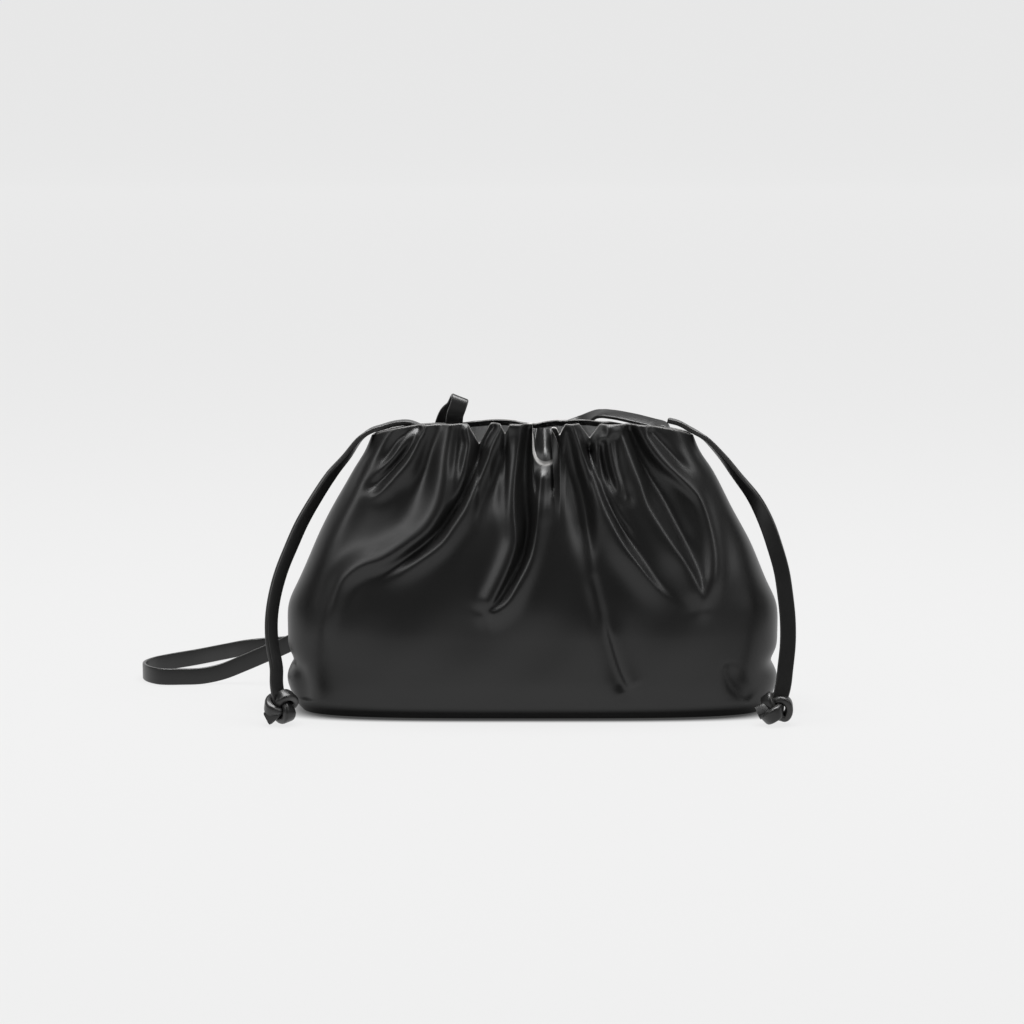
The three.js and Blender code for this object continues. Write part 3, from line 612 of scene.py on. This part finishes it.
def foldPush(line, push, left, right, fadeFrom, x, z):
    # how far a fold moves the leather out: a ridge or groove along the line, each flank with its own width
    line = smoothRoute(line, 6)
    nearest = np.full(x.shape, 1e9)
    side = np.zeros(x.shape)
    along = np.zeros(x.shape)
    spans = len(line) - 1
    for k in range(spans):
        run = line[k + 1] - line[k]
        t = np.clip(((x - line[k][0]) * run[0] + (z - line[k][1]) * run[1]) / run.dot(run), 0, 1)
        awayX = x - line[k][0] - t * run[0]
        awayZ = z - line[k][1] - t * run[1]
        distance = np.hypot(awayX, awayZ)
        closer = distance < nearest
        nearest = np.where(closer, distance, nearest)
        across = (awayX * -run[1] + awayZ * run[0]) / (np.hypot(*run) * np.maximum(distance, 1e-9))
        side = np.where(closer, across, side)
        along = np.where(closer, (k + t) / spans, along)
    flank = left + (right - left) * (side + 1) / 2
    fade = 1 - smoothStep(fadeFrom, 1.05, along)
    if line[0][1] < 0.12:
        fade = fade * smoothStep(0, 0.3, along)  # a crease that starts below the rim grows from nothing
    return push * fade * np.exp(-((nearest / flank) ** 2))


def notchDip(notches, x):
    dip = 0
    for at, drop, width in notches:
        away = np.abs(x - at * pouch["mouthWidth"] / 2) / (width * pouch["notchWidth"] / 2)
        dip = dip + drop * pouch["notchDepth"] * np.clip(1 - away, 0, 1)
    return dip


def lipShift(x):
    # how far the U's rim is moved across and down at a place x, and how much of the U is there
    low, high = lipMiddle - 0.008, lipMiddle + 0.0065
    share = np.clip((x - low) / (high - low), 0, 1) * 2 - 1
    fine = smoothRoute(lipRows, 8)
    across = np.interp(share, fine[:, 0], fine[:, 1]) * 0.001
    down = np.interp(share, fine[:, 0], fine[:, 2]) * 0.001
    straight = low + (high - low) * (share + 1) / 2
    return lipMiddle + across - straight, down, 1 - share**4


def skinPoints(turn, height, inset, fine=True, lip=1):
    # points of the leather: turn goes once round from the right side past the back, height up, inset inwards.
    # lip is 0 for the pleat's back layer, which stays up behind the U
    turn, height, inset = np.broadcast_arrays(
        np.asarray(turn, float), np.asarray(height, float), np.asarray(inset, float))
    angle = 2 * pi * turn + 0.2 * np.sin(4 * pi * turn)
    c, s = np.cos(angle), np.sin(angle)
    n = sectionColumn(3, height)
    a, b = halfWidthAt(height), halfDepthAt(height)
    k = (np.abs(c) ** n + np.abs(s) ** n) ** (-1 / n)
    x, y = a * c * k, b * s * k
    outX = np.sign(c) * (np.abs(c) * k) ** (n - 1) / a
    outY = np.sign(s) * (np.abs(s) * k) ** (n - 1) / b
    outLength = np.hypot(outX, outY)
    outX, outY = outX / outLength, outY / outLength
    front, back = smoothStep(0.25, 0.7, -s), smoothStep(0.25, 0.7, s)
    side = smoothStep(0.8, 1, np.abs(c))
    gathered = smoothStep(0.5, 1, height) ** 2
    shoulder = pouch["shoulderDrop"] * np.abs(x / a) ** 5
    dip = front * notchDip(frontNotches, x) + back * (pouch["backDrop"] + notchDip(backNotches, x))
    z = height * pouch["height"] - (shoulder + dip) * gathered
    lipX, lipZ, lipShare = lipShift(x)
    hung = smoothStep(0.68, 1, height) * front * lip
    x = x + lipX * hung
    z = z + lipZ * hung
    push = pouch["lipFlare"] * lipShare * hung**2
    if fine:
        for line, out, left, right, fadeFrom in frontFolds:
            push = push + front * foldPush(np.array(line) * 0.001, out * 0.001, max(left, 3) * 0.001,
                                           max(right, 3) * 0.001, fadeFrom, x, z)
    unit = np.array([halfWide, tall])
    for line, out, left, right in backFolds:
        push = push + back * foldPush(np.array(line) * unit, out * pouch["foldDepth"], left * pouch["foldWidth"],
                                      right * pouch["foldWidth"], 0.55, x, z)
    for at, amount, spread in sidePuckers:
        push = push + side * amount * pouch["puckerDepth"] * np.exp(-(((height - at) / spread) ** 2))
    # slow waves of soft leather
    wave = np.sin(x * 61 + z * 38) * np.sin(z * 74 - x * 23 + 1.3) + 0.6 * np.sin(x * 118 - z * 95 + 2.1)
    push = push + pouch["waveHeight"] * wave * smoothStep(0.02, 0.2, height)
    push = push * smoothStep(0, 0.05, height)
    if not lip:
        # deep inside, where nothing shows, the wall runs smooth behind the folds
        near = smoothStep(0.78, 0.93, height)
        push = push * near - pouch["deepFolds"] * (1 - near) * smoothStep(0, 0.1, height)
    # round the U the wall is turned so that its cut edge faces the front
    turned = 0.85 * lipShare * front * smoothStep(0.93, 1, height) * lip
    inX, inZ = lipMiddle - x, tall - 0.012 - z
    inLength = np.maximum(np.hypot(inX, inZ), 1e-6)
    return np.stack([
        x + push * outX - inset * (outX * (1 - turned) - inX / inLength * turned),
        y + push * outY - inset * outY * (1 - turned),
        z + inset * inZ / inLength * turned,
    ], axis=-1)


def columnTurns():
    # columns stand closer on the front, and closest round the U
    fineTurn = np.linspace(0, 1, 6001)
    places = skinPoints(fineTurn, 0.9, 0, fine=False)
    weight = 1 + 0.8 * (places[:, 1] < 0) + 3.5 * (places[:, 1] < 0) * np.exp(
        -(((places[:, 0] - lipMiddle) / 0.009) ** 2))
    total = np.concatenate([[0], np.cumsum((weight[1:] + weight[:-1]) / 2)])
    return np.interp(np.arange(pouch["columns"]) / pouch["columns"] * total[-1], total, fineTurn)


def makePouch():
    columns = pouch["columns"]
    turns = columnTurns()
    outside = np.arange(pouch["rowsOutside"] + 1) / pouch["rowsOutside"]
    outside = outside - 0.06 * np.sin(2 * pi * outside)  # closer at the base and the rim
    floorShare = pouch["leather"] / pouch["height"]
    inside = 0.985 + (floorShare - 0.985) * (np.arange(pouch["rowsInside"] + 1) / pouch["rowsInside"]) ** 1.7
    outer = skinPoints(turns[None, :], outside[:, None], 0)
    innerRim = skinPoints(turns, 1, pouch["leather"])
    inner = skinPoints(turns[None, :], inside[:, None], pouch["leather"], lip=0)
    # the rim is a cut edge, rounded a little
    lip = []
    out = outer[-1] - outer[-3]
    out /= np.linalg.norm(out, axis=1)[:, None]
    for share in (0.12, 0.5, 0.88):
        edge = outer[-1] * (1 - share) + innerRim * share
        lip.append(edge + out * pouch["leather"] * 0.3 * sin(pi * share))
    behind = innerRim * 0.95 + inner[0] * 0.05
    rings = np.concatenate([outer, np.array(lip), innerRim[None], behind[None], inner])
    corners = list(rings.reshape(-1, 3))
    count = len(rings)
    faces, slots = [], []
    for r in range(count - 1):
        low, high = r * columns, (r + 1) * columns
        for i in range(columns):
            j = (i + 1) % columns
            faces.append((low + i, low + j, high + j, high + i))
            slots.append(1 if r > len(outer) + 5 else 0)
    for ring, first in ((rings[0], 0), (rings[-1], (count - 1) * columns)):
        corners.append(ring.mean(axis=0))
        middle = len(corners) - 1
        for i in range(columns):
            j = (i + 1) % columns
            faces.append((middle, first + j, first + i) if first == 0 else (middle, first + i, first + j))
            slots.append(0 if first == 0 else 1)
    obj = meshObject("pouch", corners, [], faces)
    shadeSmooth(obj)
    obj.data.materials.append(pouchLeather)
    obj.data.materials.append(insideSuede)
    obj.data.polygons.foreach_set("material_index", slots)
    # the cut edge shows its grey core along the rim with a painted highlight on it; round the U, where the edge faces
    # up into the light, the painted highlight makes it much paler
    rim = outer[-1]
    cutEdgeAndHighlight = 0.22 + 0.78 * (rim[:, 1] < 0) * smoothStep(0.0125, 0.0095, np.abs(rim[:, 0] - lipMiddle))
    paint = np.zeros(len(corners))
    firstLip = len(outer) * columns
    paint[firstLip : firstLip + 3 * columns] = np.tile(cutEdgeAndHighlight, 3)
    paint[firstLip - columns : firstLip] = cutEdgeAndHighlight * 0.35
    paint[firstLip + 3 * columns : firstLip + 4 * columns] = cutEdgeAndHighlight
    edge = obj.data.attributes.new("edge", "FLOAT", "POINT")
    edge.data.foreach_set("value", paint)
    obj.data.update()
    return obj


pouchPiece = makePouch()
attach(pouchPiece, "root")
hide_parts("pouch_body")
print("pouch made,", len(pouchPiece.data.polygons), "faces")


# strap: both ends inside the mouth, the left leg folded over the rim, the loop standing on its edge on the floor
strap = {"width": 0.0105, "thickness": 0.0022, "rounding": 0.0008, "clearance": 0.0022, "gap": 0.0003,
         "loopReach": 0.098, "loopSpread": 0.110, "stepsPerRow": 8}
peakRows = [  # across, back, rise, lift of the width's far end
    (-0.485, 0.6, 0.1, 0), (-0.465, 0.68, 0.65, 0.2), (-0.452, 0.82, 1.06, 0.4), (-0.462, 1.06, 1.04, 0.4),
    (-0.49, 1.24, 0.5, 0.2), (-0.535, 1.32, 0.05, 0),
]
leftLegRows = [(-0.388, 0.93), (-0.44, 0.85), (-0.5, 0.75), (-0.6, 0.6), (-0.71, 0.45), (-0.82, 0.31)]  # across, up
loopRows = [  # out, back, lift
    (-0.06, 0.02, 0.15), (0.063, 0.045, 0.11), (0.21, 0.06, 0.073), (0.345, 0.065, 0.04), (0.47, 0.06, 0.013),
    (0.6, 0.035, 0), (0.73, 0.01, 0), (0.87, 0.015, 0), (0.965, 0.1, 0), (1, 0.22, 0), (0.955, 0.34, 0),
    (0.85, 0.45, 0), (0.695, 0.58, 0), (0.53, 0.74, 0), (0.385, 0.87, 0), (0.14, 0.97, 0), (-0.15, 1, 0),
    (-0.44, 0.93, 0), (-0.685, 0.76, 0), (-0.9, 0.54, 0), (-1.07, 0.33, 0.003), (-1.22, 0.19, 0.04),
]
rightLegRows = [(-0.06, 0.22), (-0.05, 0.4), (-0.03, 0.58), (-0.01, 0.74), (0.02, 0.86)]  # across, up
arcRows = [  # across, back, rise, lift
    (0.1, 1.62, -1.4, 1.3), (0.2, 1.5, -0.88, 1), (0.3, 1.53, -0.48, 0.85), (0.42, 1.14, 0.11, 0.2),
    (0.5, 0.9, 0.14, 0.3), (0.64, 0.6, -0.05, 0.4), (0.76, 0.38, -0.29, 0.4), (0.83, 0.12, -0.45, 0.1),
    (0.87, 0.04, -1, 0),
]


def backWall(x, height, inset, pick):
    # the back wall as the strap's width meets it: the place in the middle, at the y that pick takes
    turns = np.linspace(0, 0.5, 500)
    wall = skinPoints(turns, height, inset, fine=False)
    spread = x + strap["width"] * np.linspace(-0.5, 0.5, 7)
    y = np.interp(spread, wall[::-1, 0], wall[::-1, 1])
    return np.array([x, pick(y), np.interp(x, wall[::-1, 0], wall[::-1, 2])])


def strapStations():
    across, upright, level = (-1, 0, 0), (0, 0, 1), (0, 1, 0)
    stations = []
    mouthWide, mouthDeep = pouch["mouthWidth"] / 2, pouch["mouthDepth"] / 2

    def behind(rows, facing):
        for x, height in rows:
            place = backWall(x * halfWide, height, 0, max)
            place[1] += strap["thickness"] / 2 + strap["clearance"]
            stations.append([place, None, facing])

    def overRim(rows, way):
        for x, y, rise, lift in rows:
            stations.append([np.array([x * mouthWide, y * mouthDeep, tall + rise * strap["width"]]),
                             Vector((way[0], way[1], lift)).normalized(), None])

    for height in (0.82, 0.88, 0.95):
        place = backWall(peakRows[0][0] * mouthWide, height, pouch["leather"], min)
        place[1] -= strap["thickness"] / 2 + 2 * strap["gap"]
        stations.append([place, across, None])
    overRim(peakRows, across)
    behind(leftLegRows, (0, -1, 0))
    foot = strap["width"] / 2 + strap["gap"]
    for out, back, lift in loopRows:
        stations.append([np.array([-halfWide - out * strap["loopReach"], halfDeep + back * strap["loopSpread"],
                                   foot + lift * tall]), upright, None])
    behind(rightLegRows, (0, 1, 0))
    overRim(arcRows, level)
    for height in (0.87, 0.82):
        wall = skinPoints(np.linspace(0, 0.1, 400), height, pouch["leather"], fine=False)
        at = wall[np.argmin(np.abs(wall[:, 1] - strap["width"] / 2))]
        stations.append([np.array([at[0] - strap["thickness"] - strap["gap"], 0, at[2]]), level, None])
    for i, station in enumerate(stations):
        if station[1] is None:
            run = stations[i + 1][0] - stations[i - 1][0]
            wide = np.cross(run, station[2])
            station[1] = wide / np.linalg.norm(wide)
    return [(place, wide) for place, wide, facing in stations]


strapPoints, strapFaces = stationRoute(strapStations(), strap["stepsPerRow"])
strapPiece = makeBand("strap", [(strapPoints, strapFaces, False)], strap, strapLeather)
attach(strapPiece, "root")
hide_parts("shoulder_strap")
print("strap made,", round(routeLength(strapPoints) * 1000), "mm long")


# stage: pale floor running up into a pale wall, even all over, and soft studio light. The floor is darker close
# under the bag, where little light gets in
stage = {"floorX": 40, "floorY": (-30, 9), "wallHeight": 6, "grey": 0.04, "glow": 0.79, "shadeX": 0.149, "shadeY": 0.0505,
         "shadeSoft": 0.09, "shadeGlow": 0.06}


def makeStage():
    lowY, highY = stage["floorY"]
    bend = 2.0
    profile = [(lowY, 0), (highY - bend, 0)]
    for k in range(1, 13):
        a = pi / 2 * k / 12
        profile.append((highY - bend + bend * sin(a), bend - bend * cos(a)))
    profile.append((highY, stage["wallHeight"]))
    corners = [(x, y, z) for y, z in profile for x in (-stage["floorX"], stage["floorX"])]
    faces = [(2 * i, 2 * i + 1, 2 * i + 3, 2 * i + 2) for i in range(len(profile) - 1)]
    floor = meshObject("floor", corners, [], faces)
    shadeSmooth(floor)
    material = bpy.data.materials.new("paleFloor")
    material.use_nodes = True
    shader = material.node_tree.nodes["Principled BSDF"]
    shader.inputs["Base Color"].default_value = rgba(stage["grey"])
    shader.inputs["Roughness"].default_value = 0.9
    shader.inputs["Specular IOR Level"].default_value = 0.1
    shader.inputs["Emission Color"].default_value = rgba(1)
    nodes, links = material.node_tree.nodes, material.node_tree.links
    where = nodes.new("ShaderNodeTexCoord")
    spread = nodes.new("ShaderNodeMapping")
    spread.inputs["Scale"].default_value = (1 / stage["shadeX"], 1 / stage["shadeY"], 0)
    links.new(where.outputs["Object"], spread.inputs["Vector"])
    split = nodes.new("ShaderNodeSeparateXYZ")
    links.new(spread.outputs["Vector"], split.inputs["Vector"])
    fourth = []
    for axis in ("X", "Y"):
        power = nodes.new("ShaderNodeMath")
        power.operation = "POWER"
        power.inputs[1].default_value = 4
        away = nodes.new("ShaderNodeMath")
        away.operation = "ABSOLUTE"
        links.new(split.outputs[axis], away.inputs[0])
        links.new(away.outputs["Value"], power.inputs[0])
        fourth.append(power)
    total = nodes.new("ShaderNodeMath")
    links.new(fourth[0].outputs["Value"], total.inputs[0])
    links.new(fourth[1].outputs["Value"], total.inputs[1])
    root = nodes.new("ShaderNodeMath")
    root.operation = "POWER"
    root.inputs[1].default_value = 0.25
    links.new(total.outputs["Value"], root.inputs[0])
    glow = nodes.new("ShaderNodeMapRange")
    glow.interpolation_type = "SMOOTHSTEP"
    glow.inputs["From Min"].default_value = 1 - stage["shadeSoft"]
    glow.inputs["From Max"].default_value = 1 + stage["shadeSoft"]
    glow.inputs["To Min"].default_value = stage["shadeGlow"]
    glow.inputs["To Max"].default_value = stage["glow"]
    links.new(root.outputs["Value"], glow.inputs["Value"])
    links.new(glow.outputs["Result"], shader.inputs["Emission Strength"])
    floor.data.materials.append(material)


lights = {
    # place, what it aims at, width, height, watts
    "overhead": ((0.0, 0.1, 1.5), (0, 0, 0.12), 1.5, 0.8, 48),
    "left": ((-1.25, -0.55, 1.05), (0, 0, 0.12), 0.5, 0.9, 5),
    "right": ((1.25, -0.55, 1.05), (0, 0, 0.12), 0.5, 0.9, 4.5),
}
roomLight = 0.05


def makeLights():
    for name, (place, aim, width, height, watts) in lights.items():
        data = bpy.data.lights.new(name, "AREA")
        data.shape = "RECTANGLE"
        data.size, data.size_y = width, height
        data.energy = watts
        lamp = bpy.data.objects.new(name, data)
        lamp.location = place
        lamp.rotation_euler = (Vector(aim) - Vector(place)).to_track_quat("-Z", "Y").to_euler()
        scene.collection.objects.link(lamp)
    world = bpy.data.worlds.new("studio")
    world.use_nodes = True
    world.node_tree.nodes["Background"].inputs["Color"].default_value = (1, 1, 1, 1)
    world.node_tree.nodes["Background"].inputs["Strength"].default_value = roomLight
    scene.world = world


makeStage()
makeLights()
print("stage and lights made")
